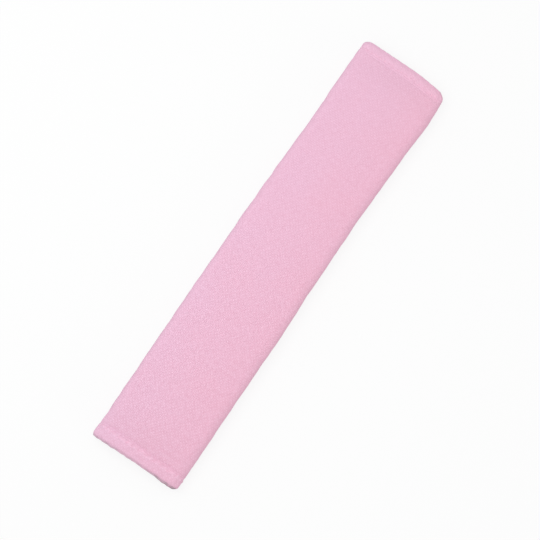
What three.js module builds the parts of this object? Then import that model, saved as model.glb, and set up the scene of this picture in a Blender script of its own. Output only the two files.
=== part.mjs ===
// Seat belt shoulder pad: a padded cloth panel, hemmed at both ends, wrapped round a belt
// and closed underneath by an overlapping pair of hook and loop flaps.
// Millimetres, +Z up. X runs along the belt, the closed flaps lie on Z = 0 and the padded
// front faces up. The origin is under the middle of the pad.
import * as THREE from "three";

// Driving dimensions
const LENGTH = 290; // end to end, along the belt
const WIDTH = 60.5; // across the closed pad
const COVER = 0.6; // woven cover cloth
const LINING = 0.35; // knitted lining cloth
const FOAM = 3.0; // padding at full thickness
const FOAM_EDGE = 1.0; // padding where its skived edge ends
const FOAM_RISE = 24; // length over which the padding swells up from each hem
const TAPE = 0.8; // hook tape, and loop tape
const TAPE_WIDTH = 20;
const TAPE_MARGIN = 2; // from a flap's free edge to its tape
const LAYER_GAP = 0.2; // between two layers that lie on each other
const BELT_ROOM = 4.8; // height of the channel that the belt runs through
const LOWER_HEM = 8.5; // from the lower end of the pad to its hem seam
const UPPER_HEM = 6.0; // from the upper end of the pad to its hem seam
const HEM_PAST_SEAM = 1.5; // turned-in cloth that runs on past the hem seam
const FOAM_PAST_HEM = 1.0; // from the turned-in cloth to the padding
const HEM_PUFF = 0.5; // how far the rolled hem swells between its edge and its seam
const HEM_PUFF_SKEW = 1.6; // above 1, the swelling lies nearer the seam than the edge
const CORNER_RADIUS = 1.8; // rounding of the folds' ends, seen from above
const FRONT_CROWN = 1.2; // how far the front bulges above its shoulders
const END_CROWN = 0.4; // the same at the two ends

// Subdivision of the curved stretches
const SIDE_FACETS = 6;
const FRONT_FACETS = 8;
const RAMP_FACETS = 4;
const TUCK_FACETS = 2; // side facets over which the padding's long edges thin out
const ROLL_STEPS = [0.45, 0.75, 1]; // rows across a rolled hem, as shares of its width
const SWELL_STEPS = [0, 0.15, 0.4, 1]; // rows along the swelling, as shares of FOAM_RISE

// Derived stack of the closed flaps and the room above them
const FLAP_WIDTH = TAPE_WIDTH + 2 * TAPE_MARGIN;
const FLAP_STACK = COVER + LAYER_GAP + LINING;
const HEM_STACK = FLAP_STACK + LAYER_GAP + COVER;
const INNER_FLAP_Z = FLAP_STACK + 2 * TAPE + 3 * LAYER_GAP;
const CHANNEL_FLOOR = INNER_FLAP_Z + HEM_STACK;
const CHANNEL_CEILING = CHANNEL_FLOOR + BELT_ROOM;

// Distances in from any edge: the edge, the turned cloth's inner side, the lining's edge.
const TURNED_EDGE = [0, COVER, COVER + LAYER_GAP];

// Eases from 0 to 1 with no slope at either end.
const ease = (t) => t * t * (3 - 2 * t);

// A row is a cross-section of the pad, at one distance from its nearer end.
function makeRow(side, hem, fromEnd) {
  return {
    x: side * (LENGTH / 2 - fromEnd),
    fromEnd,
    hem,
    inHem: fromEnd <= hem + HEM_PAST_SEAM,
    padded: fromEnd >= hem + HEM_PAST_SEAM + FOAM_PAST_HEM,
  };
}

// The rows of one end, from its edge inwards: turned edge, rolled hem, seam, swelling front.
function endRows(side, hem) {
  const foamStart = hem + HEM_PAST_SEAM + FOAM_PAST_HEM;
  const rolled = ROLL_STEPS.map((share) => share * hem);
  const swelling = SWELL_STEPS.map((share) => foamStart + share * FOAM_RISE);
  const distances = [...TURNED_EDGE, CORNER_RADIUS, ...rolled, hem + HEM_PAST_SEAM, ...swelling];
  return distances.map((fromEnd) => makeRow(side, hem, fromEnd));
}

// How far the padding has swollen at a row: 0 at its end, 1 in the body of the pad.
function swell(row) {
  const foamStart = row.hem + HEM_PAST_SEAM + FOAM_PAST_HEM;
  const share = THREE.MathUtils.clamp((row.fromEnd - foamStart) / FOAM_RISE, 0, 1);
  return Math.sin((share * Math.PI) / 2);
}

// Padding thickness at a row, for a column's share of it: 0 at the skived edge, 1 inside.
function foamThickness(row, share) {
  return FOAM_EDGE + (FOAM - FOAM_EDGE) * swell(row) * share;
}

// Thickness of the whole wall: a rolled hem at the ends, cloth and padding inside them.
function wallThickness(row, share) {
  if (row.inHem) {
    const roll = Math.sin(Math.PI * Math.min(1, row.fromEnd / row.hem) ** HEM_PUFF_SKEW);
    return HEM_STACK + HEM_PUFF * roll * (share ?? 0);
  }
  if (row.padded && share !== null) {
    return FLAP_STACK + LAYER_GAP + foamThickness(row, share);
  }
  return FLAP_STACK;
}

// Sizes of the cross-section at a row. Its two side folds are half circles of radius `fold`.
function sectionAt(row) {
  const fold = (CHANNEL_CEILING + wallThickness(row, 1)) / 2;
  const lack = Math.max(0, CORNER_RADIUS - row.fromEnd);
  const inset = CORNER_RADIUS - Math.sqrt(CORNER_RADIUS ** 2 - lack ** 2);
  const crown = THREE.MathUtils.lerp(END_CROWN, FRONT_CROWN, swell(row));
  return { fold, reach: WIDTH / 2 - inset - fold, crown };
}

// A column is one place across the panel, on the outside of the cover, with the direction
// from there into the pad. It holds the padding's share of its full thickness, or null
// where there is no padding.
const column = (place, share) => ({ place, share });

function innerFlapColumn(distance) {
  return column(() => ({ y: FLAP_WIDTH / 2 - distance, z: INNER_FLAP_Z, inY: 0, inZ: 1 }), null);
}

function outerFlapColumn(distance) {
  return column(() => ({ y: distance - FLAP_WIDTH / 2, z: 0, inY: 0, inZ: 1 }), null);
}

// The inner flap climbs from the floor to its place on top of the outer one.
function rampColumn(t) {
  return column(({ reach }) => {
    const run = reach - FLAP_WIDTH / 2;
    const slope = (-6 * t * (1 - t) * INNER_FLAP_Z) / run;
    const size = Math.hypot(1, slope);
    const y = -FLAP_WIDTH / 2 - t * run;
    return { y, z: INNER_FLAP_Z * (1 - ease(t)), inY: slope / size, inZ: 1 / size };
  }, null);
}

// A side fold, from the back at step 0 to the front at step SIDE_FACETS.
function foldColumn(side, step) {
  const angle = (step / SIDE_FACETS) * Math.PI;
  const share = step === 0 ? null : ease(Math.min(1, (step - 1) / TUCK_FACETS));
  return column(({ reach, fold }) => ({
    y: side * (reach + fold * Math.sin(angle)),
    z: fold * (1 - Math.cos(angle)),
    inY: -side * Math.sin(angle),
    inZ: Math.cos(angle),
  }), share);
}

// The front: flat shoulders with a smooth crown between them.
function frontColumn(step) {
  const u = (2 * step) / FRONT_FACETS - 1;
  return column(({ reach, fold, crown }) => {
    const slope = (-4 * u * (1 - u * u) * crown) / reach;
    const size = Math.hypot(1, slope);
    return {
      y: u * reach,
      z: 2 * fold + crown * (1 - u * u) ** 2,
      inY: slope / size,
      inZ: -1 / size,
    };
  }, 1);
}

const count = (from, to) => Array.from({ length: to - from + 1 }, (_, n) => from + n);

// Places across a flap, from its free edge.
const TAPE_EDGES = [TAPE_MARGIN, TAPE_MARGIN + TAPE_WIDTH];

const COLUMNS = [
  ...[...TURNED_EDGE, ...TAPE_EDGES, FLAP_WIDTH].map(innerFlapColumn),
  ...count(1, RAMP_FACETS - 1).map((step) => rampColumn(step / RAMP_FACETS)),
  ...count(0, SIDE_FACETS).map((step) => foldColumn(-1, step)),
  ...count(1, FRONT_FACETS - 1).map(frontColumn),
  ...count(0, SIDE_FACETS).reverse().map((step) => foldColumn(1, step)),
  ...[...TURNED_EDGE, ...TAPE_EDGES].reverse().map(outerFlapColumn),
];
const ROWS = [...endRows(-1, LOWER_HEM), ...endRows(1, UPPER_HEM).reverse()];
const SECTIONS = ROWS.map(sectionAt);
const LAST_ROW = ROWS.length - 1;
const LAST_COLUMN = COLUMNS.length - 1;

// The six faces of a cell, each with the step to its neighbour and its corners in turn.
const CELL_FACES = [
  { step: [1, 0, 0], corners: [[1, 0, 0], [1, 1, 0], [1, 1, 1], [1, 0, 1]] },
  { step: [-1, 0, 0], corners: [[0, 0, 0], [0, 0, 1], [0, 1, 1], [0, 1, 0]] },
  { step: [0, 1, 0], corners: [[0, 1, 0], [0, 1, 1], [1, 1, 1], [1, 1, 0]] },
  { step: [0, -1, 0], corners: [[0, 0, 0], [1, 0, 0], [1, 0, 1], [0, 0, 1]] },
  { step: [0, 0, 1], corners: [[0, 0, 1], [1, 0, 1], [1, 1, 1], [0, 1, 1]] },
  { step: [0, 0, -1], corners: [[0, 0, 0], [0, 1, 0], [1, 1, 0], [1, 0, 0]] },
];

// A solid wrapped with the panel. `depths` gives each level's depth below the outside of
// the cover at a row and column, and `isFilled` says which cells of rows by columns by
// levels the solid holds. Only faces between a full and an empty cell are kept.
function wrappedGeometry(depths, isFilled) {
  const positions = [];
  const triangles = [];
  const known = new Map();

  const inside = (i, j, k) =>
    i >= 0 && i < LAST_ROW && j >= 0 && j < LAST_COLUMN && k >= 0 && k < depths.length - 1 &&
    isFilled(i, j, k);

  const vertex = (i, j, k) => {
    const key = `${i},${j},${k}`;
    if (!known.has(key)) {
      const { y, z, inY, inZ } = COLUMNS[j].place(SECTIONS[i]);
      const depth = depths[k](ROWS[i], COLUMNS[j].share);
      known.set(key, positions.length / 3);
      positions.push(ROWS[i].x, y + inY * depth, z + inZ * depth);
    }
    return known.get(key);
  };

  for (const i of count(0, LAST_ROW - 1)) {
    for (const j of count(0, LAST_COLUMN - 1)) {
      for (const k of count(0, depths.length - 2)) {
        if (!inside(i, j, k)) continue;
        for (const { step, corners } of CELL_FACES) {
          if (inside(i + step[0], j + step[1], k + step[2])) continue;
          const [a, b, c, d] = corners.map((at) => vertex(i + at[0], j + at[1], k + at[2]));
          triangles.push(a, c, b, a, d, c);
        }
      }
    }
  }
  const geometry = new THREE.BufferGeometry();
  geometry.setAttribute("position", new THREE.Float32BufferAttribute(positions, 3));
  geometry.setIndex(triangles);
  geometry.computeVertexNormals();
  return geometry;
}

const surface = () => 0;
const coverInside = () => COVER;
const hemLipOutside = (row, share) =>
  row.inHem ? wallThickness(row, share) - COVER : (COVER + wallThickness(row, share)) / 2;

// Depth of the lining's channel side. In the hems it lies under the turned-in cloth.
const liningInside = (row, share) =>
  wallThickness(row, share) - (row.inHem ? COVER + LAYER_GAP : 0);

const isCellInHem = (i) => ROWS[i].inHem && ROWS[i + 1].inHem;
const isCellPadded = (i) => ROWS[i].padded && ROWS[i + 1].padded;

// Outer cover: one sheet, turned over its four edges and folded in under both end hems.
function coverGeometry() {
  return wrappedGeometry(
    [surface, coverInside, hemLipOutside, wallThickness],
    (i, j, k) => {
      const atEnd = i === 0 || i === LAST_ROW - 1;
      const atFlapEdge = j === 0 || j === LAST_COLUMN - 1;
      return k === 0 || atEnd || atFlapEdge || (k === 2 && isCellInHem(i));
    },
  );
}

// Lining: the sheet against the belt. It stops just inside the cover's turned edges.
function liningGeometry() {
  return wrappedGeometry(
    [(row, share) => liningInside(row, share) - LINING, liningInside],
    (i, j) => i >= 2 && i < LAST_ROW - 2 && j >= 2 && j < LAST_COLUMN - 2,
  );
}

// Foam: the layer between the cloths, from hem to hem and round both side folds.
function foamGeometry() {
  const outside = COVER + LAYER_GAP;
  const isColumnPadded = (j) => COLUMNS[j].share !== null && COLUMNS[j + 1].share !== null;
  return wrappedGeometry(
    [() => outside, (row, share) => outside + foamThickness(row, share)],
    (i, j) => isCellPadded(i) && isColumnPadded(j),
  );
}

// Column of the first tape edge of the inner flap, and of the last one of the outer flap.
const TAPE_START = TURNED_EDGE.length;
const TAPE_END = LAST_COLUMN - TURNED_EDGE.length - 1;

// Loop tape: on the outside of the inner flap, so it faces down.
function loopTapeGeometry() {
  return wrappedGeometry(
    [() => -LAYER_GAP - TAPE, () => -LAYER_GAP],
    (i, j) => isCellPadded(i) && j === TAPE_START,
  );
}

// Hook tape: on the lining side of the outer flap, so it faces up to the loops.
function hookTapeGeometry() {
  return wrappedGeometry(
    [() => FLAP_STACK + LAYER_GAP, () => FLAP_STACK + LAYER_GAP + TAPE],
    (i, j) => isCellPadded(i) && j === TAPE_END,
  );
}

const COVER_CLOTH = { color: "#f0c0d6", roughness: 0.9, metalness: 0 };
const LINING_CLOTH = { color: "#f2ccdc", roughness: 0.95, metalness: 0 };
const FOAM_SHEET = { color: "#f4f1e8", roughness: 1, metalness: 0 };
const LOOP_PILE = { color: "#ecb9d0", roughness: 1, metalness: 0 };
const HOOK_NYLON = { color: "#f3d3e1", roughness: 0.6, metalness: 0 };

function piece(name, geometry, finish) {
  const mesh = new THREE.Mesh(geometry, new THREE.MeshStandardMaterial(finish));
  mesh.name = name;
  return mesh;
}

const group = new THREE.Group();
group.add(
  piece("outer_cover", coverGeometry(), COVER_CLOTH),
  piece("foam_padding", foamGeometry(), FOAM_SHEET),
  piece("inner_lining", liningGeometry(), LINING_CLOTH),
  piece("loop_tape", loopTapeGeometry(), LOOP_PILE),
  piece("hook_tape", hookTapeGeometry(), HOOK_NYLON),
);

export default group;
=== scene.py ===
"""A seat belt shoulder pad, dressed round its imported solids.

A padded cloth panel is hemmed at both ends, wrapped round a belt and closed underneath by
hook and loop tapes. Metres, +Z up. +X runs along the belt, towards the end with the narrower
hem, and the closed flaps lie on Z = 0. Every piece is laid out on the panel first, as rows
along the pad, columns across the panel and levels in depth, and then wrapped with it.
"""
import logging
import math
from dataclasses import dataclass, field
from enum import Enum
from typing import Callable, Sequence

import bpy
import numpy as np
from mathutils import Matrix, Vector


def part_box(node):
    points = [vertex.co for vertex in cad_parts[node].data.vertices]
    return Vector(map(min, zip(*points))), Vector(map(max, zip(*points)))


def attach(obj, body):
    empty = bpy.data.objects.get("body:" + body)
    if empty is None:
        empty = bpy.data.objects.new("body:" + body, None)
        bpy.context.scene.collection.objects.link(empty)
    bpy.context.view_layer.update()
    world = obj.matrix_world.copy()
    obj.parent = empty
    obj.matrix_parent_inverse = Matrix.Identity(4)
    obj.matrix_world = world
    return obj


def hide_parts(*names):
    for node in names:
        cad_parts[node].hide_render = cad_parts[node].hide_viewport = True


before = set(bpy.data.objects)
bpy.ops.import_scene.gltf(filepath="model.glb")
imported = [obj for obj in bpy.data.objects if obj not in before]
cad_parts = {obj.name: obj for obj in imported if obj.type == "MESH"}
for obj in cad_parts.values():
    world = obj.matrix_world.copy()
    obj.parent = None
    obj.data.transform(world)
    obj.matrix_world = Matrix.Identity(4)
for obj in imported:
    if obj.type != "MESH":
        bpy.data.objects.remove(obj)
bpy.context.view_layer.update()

LOG = logging.getLogger("shoulder_pad")
MM = 0.001
BODY = "root"
WAVE_SPREAD = (0.7, 1.6)

Depth = Callable[[np.ndarray, np.ndarray], np.ndarray]


class Leg(Enum):
    """Stretches of the panel, in turn across it. Each is one unit of the across value."""

    INNER_FLAP = 0
    RAMP = 1
    NEAR_FOLD = 2
    FRONT = 3
    FAR_FOLD = 4
    RUN = 5
    OUTER_FLAP = 6


class Edge(Enum):
    """The side of the panel that a row of stitches shows on."""

    OUTSIDE = 1
    CHANNEL = -1


def ease(t: np.ndarray) -> np.ndarray:
    """Eases from 0 to 1 with no slope at either end: t squared times 3 minus 2t."""
    t = np.clip(t, 0.0, 1.0)
    return t * t * (3 - 2 * t)


def ease_slope(t: np.ndarray) -> np.ndarray:
    """Slope of the easing between 0 and 1: 6 times t times 1 minus t."""
    return 6 * t * (1 - t)


def ripple(a: np.ndarray, b: np.ndarray, wave: float, seed: int, waves: int = 7) -> np.ndarray:
    """A smooth uneven field, the mean of plane waves of about one wavelength.

    Each wave is the sine of a turned distance plus a phase, both drawn from the seed.

    Args:
        a: Distance one way over the cloth.
        b: Distance the other way.
        wave: Typical wavelength, in the distances' own unit.
        seed: Start of the random draws.
        waves: How many waves are summed.

    Returns:
        The field, mostly from -1 to 1.
    """
    draw = np.random.default_rng(seed)
    total = np.zeros(np.broadcast(a, b).shape)
    for _ in range(waves):
        turn, phase = draw.uniform(0, 2 * math.pi, 2)
        reach = 2 * math.pi / (wave * draw.uniform(*WAVE_SPREAD))
        total = total + np.sin(reach * (a * math.cos(turn) + b * math.sin(turn)) + phase)
    return total / math.sqrt(waves)


def mound(place: np.ndarray, middle: float, width: float) -> np.ndarray:
    """A Gaussian, 1 at its middle. The three lengths are in one unit."""
    return np.exp(-(((place - middle) / width) ** 2))


@dataclass(frozen=True)
class HemSeam:
    """How one hem's seam and turned edge shape the cover round them.

    Heights, widths and places are in mm. Places are measured inwards from the seam, except
    where the name says otherwise. The painted shade just inside the seam and the painted
    highlight on the ridge outside it change only the colour.
    """

    dip: float = 0.1
    padded_dip: float = 0.2
    dip_width: float = 0.7
    hole_share: float = 0.45
    foot: float = 0.06
    foot_at: float = 0.9
    foot_width: float = 1.0
    ridge: float = 0.24
    ridge_at: float = -1.0
    ridge_width: float = 0.9
    roping_share: float = 1.1
    puff: float = 0.0
    puff_from_end: float = 3.6
    puff_width: float = 2.0
    roll: float = 0.5
    roll_reach: float = 2.4
    # The next eight only colour the cloth: painted shade just inside the seam and a painted
    # highlight on its ridge, both scaled by the first.
    crease: float = 1.0
    groove_shade: float = 0.75
    groove_shade_at: float = 1.1
    groove_shade_width: float = 1.2
    ridge_highlight: float = 0.9
    ridge_highlight_roping: float = 1.6
    ridge_highlight_at: float = -0.6
    ridge_highlight_width: float = 0.9
    ragged: float = 0.13


LOWER_SEAM = HemSeam()
UPPER_SEAM = HemSeam(
    padded_dip=0.06, foot=-0.06, foot_at=1.2, ridge=0.04, puff=0.22, roll=0.3, roll_reach=3.4,
    crease=0.15, ragged=0.07,
)


@dataclass(frozen=True)
class Wave:
    """One kind of unevenness: its height, its length and the start of its random draws."""

    height: float
    length: float
    seed: int

    def at(self, a: np.ndarray, b: np.ndarray) -> np.ndarray:
        """The unevenness at distances over the cloth."""
        return self.height * ripple(a, b, self.length, self.seed)


@dataclass(frozen=True)
class ClothWaves:
    """The unevenness of the cover's front, beside its seams and over its padding."""

    pucker: Wave = Wave(0.13 * MM, 6 * MM, 11)
    pucker_reach_mm: float = 3.5
    pucker_slant: float = 0.35
    crease: float = 0.15 * MM
    crease_pitch: float = 8.3 * MM
    crease_slant: float = 0.9
    crease_middle: float = 1.1
    crease_wander: Wave = Wave(0.8 * MM, 14 * MM, 5)
    rope_slant: float = 0.5
    rope_wander: Wave = Wave(0.6 * MM, 17 * MM, 9)
    slow: Wave = Wave(0.12 * MM, 48 * MM, 3)
    quick: Wave = Wave(0.05 * MM, 15 * MM, 4)
    shoulder: float = 0.5 * MM
    shoulder_at_mm: float = -1.0
    shoulder_width_mm: float = 6.5
    # Unevenness of the painted shade on the lower end's edge, and the range it is held to.
    end_shade: Wave = Wave(0.35, 3.6 * MM, 23)
    end_shade_range: tuple[float, float] = (0.2, 1.8)


@dataclass(frozen=True)
class Drape:
    """How the finished pad lies: its long edges, the bow of its ends and its open mouth."""

    edge_power: float = 1.6
    corner_power: float = 7
    nap: Wave = Wave(0.07 * MM, 6.5 * MM, 21)
    ragged: Wave = Wave(MM, 4.6 * MM, 22)
    ragged_slant: float = 0.2
    end_reach: float = 20 * MM
    end_fall: float = 1.6 * MM
    fall_from: float = 0.2
    end_hollow: float = 0.45 * MM
    hollow_edge: float = 0.6
    end_slant: float = 0.45 * MM
    mouth_slip: float = 1.1 * MM
    slip_rate: float = 1.4


@dataclass(frozen=True)
class EdgeLine:
    """How far one long edge strays from a straight line, by stations along the pad in mm."""

    stations: tuple[float, ...]
    shifts: tuple[float, ...]
    lower_radius: float
    upper_radius: float
    blur: int = 7
    reach: float = 170.0

    def at(self, x: np.ndarray) -> np.ndarray:
        """Outward shift of the edge, in metres.

        Straight between the stations, then averaged with a raised cosine window.

        Args:
            x: Places along the pad.

        Returns:
            The shift at each place.
        """
        fine = np.arange(-self.reach, self.reach + 1)
        window = np.hanning(2 * self.blur + 1)
        line = np.interp(fine, self.stations, self.shifts)
        line = np.convolve(np.pad(line, self.blur, "edge"), window / window.sum(), "valid")
        return np.interp(x / MM, fine, line) * MM

    def corner(self, x: np.ndarray, from_end: np.ndarray) -> np.ndarray:
        """How far the rounded corner draws the edge in.

        Args:
            x: Places along the pad.
            from_end: Their distances from the nearer end.

        Returns:
            Radius less a quarter circle's height, in metres.
        """
        radius = np.where(x < 0, self.lower_radius, self.upper_radius) * MM
        left = np.clip(radius - from_end, 0, radius)
        return radius - np.sqrt(radius**2 - left**2)


@dataclass
class PadForm:
    """The shape that every layer of the pad is wrapped to, in the sizes of its solids."""

    length: float
    width: float
    tape_width: float
    tape: float
    lower_hem: float
    upper_hem: float
    cover: float = 0.6 * MM
    lining: float = 0.35 * MM
    foam: float = 3.0 * MM
    foam_edge: float = 1.0 * MM
    foam_rise: float = 24 * MM
    gap: float = 0.2 * MM
    tape_margin: float = 2 * MM
    belt_room: float = 4.8 * MM
    hem_past_seam: float = 1.5 * MM
    foam_past_hem: float = 1.0 * MM
    hem_puff: float = 0.5 * MM
    hem_puff_skew: float = 1.6
    front_crown: float = 1.2 * MM
    end_crown: float = 0.4 * MM
    tuck: float = 1 / 6
    tuck_rise: float = 1 / 3
    stitch: float = 3.0 * MM
    rope: float = 4.8 * MM
    seam_inset: float = 0.5 * MM
    sunk_limit: float = 1.3
    cloth_steps: int = 1400
    waves: ClothWaves = ClothWaves()
    drape: Drape = Drape()
    near_edge: EdgeLine = EdgeLine(
        stations=(-142, -128, -104, -84, -48, -26, -5, 22, 55, 75, 94, 111, 121, 133, 142),
        shifts=(0.7, 0.95, 0.75, 0.8, 0.45, 0.35, -0.45, -0.7, -1.0, -0.6, 0.0, 0.5, 1.3, 0.6, 0.1),
        lower_radius=2.4,
        upper_radius=4.2,
    )
    far_edge: EdgeLine = EdgeLine(
        stations=(-142, -133, -120, -100, -55, -30, -15, 10, 50, 62, 75, 88, 97, 120, 145),
        shifts=(
            -0.5, -1.0, -0.7, -0.3, 0.0, 0.3, 0.1, 0.25, 0.15, -0.25, -0.6, -1.0, -0.7, -0.35,
            -0.5,
        ),
        lower_radius=0.7,
        upper_radius=3.0,
    )
    # Painted shade on the lower end's turned edge: its share at stations across the pad in mm, and
    # its reach from the end.
    end_shade_stations: tuple[float, ...] = (-26, -18, -6, 9, 23)
    end_shade_shares: tuple[float, ...] = (0.5, 0.48, 0.24, 0.26, 0.32)
    end_shade_reach: float = 0.36 * MM
    swelling: "Swelling | None" = None

    @classmethod
    def from_frame(cls) -> "PadForm":
        """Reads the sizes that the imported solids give: the pad's box, the tapes and the hems.

        Returns:
            The form, with every other size at its own value.
        """
        cover_low, cover_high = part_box("outer_cover")
        foam_low, foam_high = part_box("foam_padding")
        tape_low, tape_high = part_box("hook_tape")
        past_seam = cls.hem_past_seam + cls.foam_past_hem
        return cls(
            length=cover_high.x - cover_low.x,
            width=cover_high.y - cover_low.y,
            tape_width=tape_high.y - tape_low.y,
            tape=tape_high.z - tape_low.z,
            lower_hem=foam_low.x - cover_low.x - past_seam,
            upper_hem=cover_high.x - foam_high.x - past_seam,
        )

    @property
    def flap(self) -> float:
        """Width of each flap, its tape and a margin at both sides."""
        return self.tape_width + 2 * self.tape_margin

    @property
    def flap_stack(self) -> float:
        """Thickness of a flap: cover, gap and lining."""
        return self.cover + self.gap + self.lining

    @property
    def hem_stack(self) -> float:
        """Thickness of a hem: a flap's layers and the turned-in cover."""
        return self.flap_stack + self.gap + self.cover

    @property
    def inner_flap_z(self) -> float:
        """Height of the inner flap, on top of the outer flap and both tapes."""
        return self.flap_stack + 2 * self.tape + 3 * self.gap

    @property
    def ceiling(self) -> float:
        """Height of the belt channel's ceiling."""
        return self.inner_flap_z + self.hem_stack + self.belt_room

    def end_distance(self, x: np.ndarray) -> tuple[np.ndarray, np.ndarray]:
        """Distance of each x from its nearer end, and that end's hem."""
        return self.length / 2 - np.abs(x), np.where(x < 0, self.lower_hem, self.upper_hem)

    def padding(self, q: np.ndarray) -> tuple[np.ndarray, np.ndarray]:
        """Where the padding lies across the panel.

        Args:
            q: Across values, from 0 at the inner flap's free edge to 7 at the outer one's.

        Returns:
            Whether there is padding, from 0 to 1, and its share of its full swelling. The
            first eases in over the fold's first part, the second over the part after it.
        """
        into = np.minimum(q - Leg.NEAR_FOLD.value, Leg.RUN.value - q)
        return ease(into / self.tuck), ease((into - self.tuck) / self.tuck_rise)

    def in_hem(self, x: np.ndarray) -> np.ndarray:
        """1 in the hems, easing to 0 between the turned-in cloth's edge and the padding's."""
        from_end, hem = self.end_distance(x)
        return 1 - ease((from_end - hem - self.hem_past_seam) / self.foam_past_hem)

    def swell(self, x: np.ndarray) -> np.ndarray:
        """How far the padding has swollen: a quarter sine from its end to its full height.

        Args:
            x: Places along the pad.

        Returns:
            The swelling, from 0 to 1.
        """
        from_end, hem = self.end_distance(x)
        into = (from_end - hem - self.hem_past_seam - self.foam_past_hem) / self.foam_rise
        return np.sin(np.clip(into, 0, 1) * math.pi / 2)

    def foam_thickness(self, x: np.ndarray, q: np.ndarray) -> np.ndarray:
        """The padding's own thickness: its edge's, and a share of what it gains inside."""
        _, share = self.padding(q)
        return self.foam_edge + (self.foam - self.foam_edge) * self.swell(x) * share

    def wall(self, x: np.ndarray, q: np.ndarray) -> np.ndarray:
        """Thickness of the whole wall, cloth, padding and hem.

        In a hem it is the hem's layers and a roll, a sine of the distance from the end
        raised to the skew. Inside it is the flap's layers and the padding.

        Args:
            x: Places along the pad.
            q: Across values.

        Returns:
            The thickness, in metres.
        """
        from_end, hem = self.end_distance(x)
        present, share = self.padding(q)
        reach = np.clip(from_end / hem, 0, 1)
        roll = self.hem_puff * np.sin(math.pi * reach**self.hem_puff_skew) * share
        body = self.flap_stack + present * (self.gap + self.foam_thickness(x, q))
        hemmed = self.in_hem(x)
        return hemmed * (self.hem_stack + roll) + (1 - hemmed) * body

    def section(self, x: np.ndarray, q: np.ndarray) -> tuple[np.ndarray, ...]:
        """The outside of the cover at each cross-section, before any relief.

        Flat flaps, a ramp eased between their heights, half circles for the folds, and a
        front whose crown is the square of one minus the square of its place across.

        Args:
            x: Places along the pad.
            q: Across values, of the same shape.

        Returns:
            y and z of each point, and y and z of the direction from there into the pad.
        """
        fold = (self.ceiling + self.wall(x, np.full_like(x, Leg.FRONT.value + 0.5))) / 2
        reach = self.width / 2 - fold
        crown = self.end_crown + (self.front_crown - self.end_crown) * self.swell(x)
        half = self.flap / 2
        leg = np.clip(np.floor(q), 0, len(Leg) - 1)
        t = q - leg
        flat = np.zeros_like(x)
        run = reach - half
        ramp_slope = -ease_slope(t) * self.inner_flap_z / run
        ramp_size = np.hypot(1, ramp_slope)
        u = 2 * t - 1
        front_slope = -4 * u * (1 - u * u) * crown / reach
        front_size = np.hypot(1, front_slope)
        near, far = t * math.pi, (1 - t) * math.pi
        legs = [leg == part.value for part in Leg]
        y = np.select(legs, [
            half - t * self.flap, -half - t * run, -reach - fold * np.sin(near), u * reach,
            reach + fold * np.sin(far), reach - t * run, half - t * self.flap,
        ])
        z = np.select(legs, [
            flat + self.inner_flap_z, self.inner_flap_z * (1 - ease(t)),
            fold * (1 - np.cos(near)), 2 * fold + crown * (1 - u * u) ** 2,
            fold * (1 - np.cos(far)), flat, flat,
        ])
        in_y = np.select(legs, [
            flat, ramp_slope / ramp_size, np.sin(near), front_slope / front_size,
            -np.sin(far), flat, flat,
        ])
        in_z = np.select(legs, [
            flat + 1, 1 / ramp_size, np.cos(near), -1 / front_size,
            np.cos(far), flat + 1, flat + 1,
        ])
        return y, z, in_y, in_z

    def across(self, q: np.ndarray) -> np.ndarray:
        """Length of cloth across the panel, summed along the section in the pad's middle.

        Args:
            q: Across values.

        Returns:
            The length from the inner flap's free edge to each of them.
        """
        fine = np.linspace(0, len(Leg), self.cloth_steps + 1)
        y, z, _, _ = self.section(np.zeros_like(fine), fine)
        steps = np.hypot(np.diff(y), np.diff(z))
        return np.interp(q, fine, np.concatenate([[0], np.cumsum(steps)]))

    @property
    def panel(self) -> float:
        """Width of the panel's cloth, from flap edge to flap edge."""
        return float(self.across(np.array(float(len(Leg)))))

    def across_value(self, cloth: np.ndarray) -> np.ndarray:
        """The across value at a length of cloth from the inner flap's free edge."""
        fine = np.linspace(0, len(Leg), self.cloth_steps + 1)
        return np.interp(cloth, self.across(fine), fine)

    def by_end(self, x: np.ndarray, part: Callable[[HemSeam], object]) -> np.ndarray:
        """What a part says of the lower seam where x is below 0, and of the upper elsewhere."""
        return np.where(x < 0, part(LOWER_SEAM), part(UPPER_SEAM))

    def seam_relief(
        self,
        seam: HemSeam,
        cloth: np.ndarray,
        from_end: np.ndarray,
        hem: np.ndarray,
        present: np.ndarray,
    ) -> np.ndarray:
        """How far one hem's seam and turned edge raise the cover.

        The seam is a dip, deeper at the needle holes. The cloth sinks to its foot inside it
        and rises in a roped ridge outside it. The hem's puff is flattened near the end, and
        the end is rounded off by a square of the distance that is left.

        Args:
            seam: The seam.
            cloth: Length of cloth across the panel.
            from_end: Distance from the end.
            hem: Width of the hem.
            present: Whether there is padding, from 0 to 1.

        Returns:
            The relief, in metres.
        """
        off_seam = (from_end - hem + self.seam_inset) / MM
        holes = 1 + seam.hole_share * np.cos(2 * math.pi * cloth / self.stitch)
        dip = (seam.dip + seam.padded_dip * present) * holes
        dip = dip * mound(off_seam, 0.0, seam.dip_width)
        foot = seam.foot * mound(off_seam, seam.foot_at, seam.foot_width)
        roped = 1 + seam.roping_share * self.roping(cloth, from_end)
        ridge = seam.ridge * roped * mound(off_seam, seam.ridge_at, seam.ridge_width)
        puff = seam.puff * mound(from_end / MM, seam.puff_from_end, seam.puff_width)
        roll = seam.roll * np.clip(1 - from_end / (seam.roll_reach * MM), 0, 1) ** 2
        return ((ridge - foot - puff - roll) * present - dip) * MM

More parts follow.
